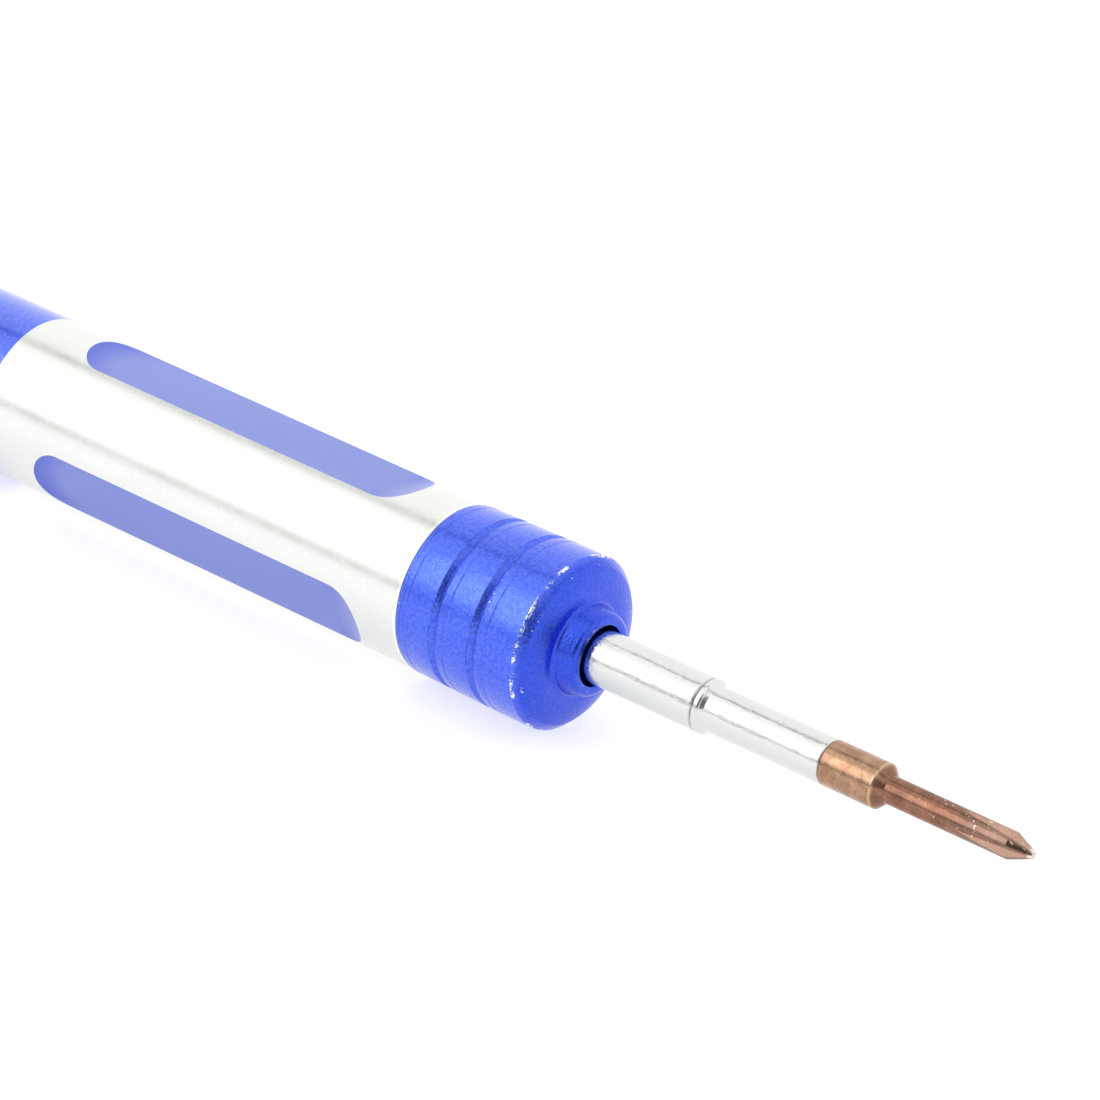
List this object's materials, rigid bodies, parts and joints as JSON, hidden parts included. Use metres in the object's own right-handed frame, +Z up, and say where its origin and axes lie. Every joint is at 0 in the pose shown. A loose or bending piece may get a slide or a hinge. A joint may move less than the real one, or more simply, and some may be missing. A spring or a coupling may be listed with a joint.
{
  "type": "precision screwdriver",
  "caption": "Slim round aluminium screwdriver with a fine cross tip, a pull-out blade in a hex socket, milled grip flats and a swivel cap on a miniature ball bearing.",
  "frame": {"origin": "point on the surface the tool lies on, under the middle of its length", "axes": "+X along the tool towards the tip, +Z up, with one of the grip's three flats facing +Z"},
  "size_m": [0.12, 0.0098, 0.0098],
  "materials": {
    "handle_aluminium": "satin blue anodising, with the grip turned bright and its flats left blue",
    "blue_anodising": "satin blue anodising with bare metal at worn edges",
    "bright_aluminium": "fine turned",
    "chrome_plate": "polished",
    "copper_coat": "copper-coloured coating over turned steel",
    "black_rubber": "smooth",
    "socket_steel": "turned",
    "black_steel": "blackened",
    "magnet_nickel": "nickel plated",
    "bearing_steel": "ground",
    "ball_steel": "lapped",
    "cage_brass": "pressed",
    "shield_steel": "pressed",
    "screw_steel": "zinc plated"
  },
  "bodies": {
    "handle": {"handle_barrel": "handle_aluminium", "nose_ferrule": "blue_anodising", "nose_o_ring": "black_rubber", "hex_socket": "socket_steel", "socket_grub_screws": "black_steel", "socket_magnet": "magnet_nickel", "pivot_plug": "socket_steel", "bearing_inner_ring": "bearing_steel", "screw_washer": "screw_steel", "pivot_screw": "screw_steel"},
    "blade": {"blade_shaft": "chrome_plate", "phillips_bit": "copper_coat"},
    "cap": {"swivel_cap": "blue_anodising", "cap_end_disc": "bright_aluminium", "bearing_outer_ring": "bearing_steel", "bearing_shield_front": "shield_steel", "bearing_shield_rear": "shield_steel", "bearing_circlip": "black_steel"},
    "cage": {"ball_cage": "cage_brass", "bearing_balls": "ball_steel"}
  },
  "joints": [
    {"name": "cap_spin", "type": "hinge", "parent": "handle", "child": "cap", "pos_m": [-0.05, 0, 0.0049], "axis": [1, 0, 0], "continuous": true},
    {"name": "cage_orbit", "type": "hinge", "parent": "handle", "child": "cage", "pos_m": [-0.05, 0, 0.0049], "axis": [1, 0, 0], "continuous": true},
    {"name": "blade_pull", "type": "slide", "parent": "handle", "child": "blade", "axis": [1, 0, 0], "range_m": [0, 0.022]}
  ],
  "couplings": [
    {"joint": "cage_orbit", "follows": "cap_spin", "ratio": 0.5889}
  ]
}
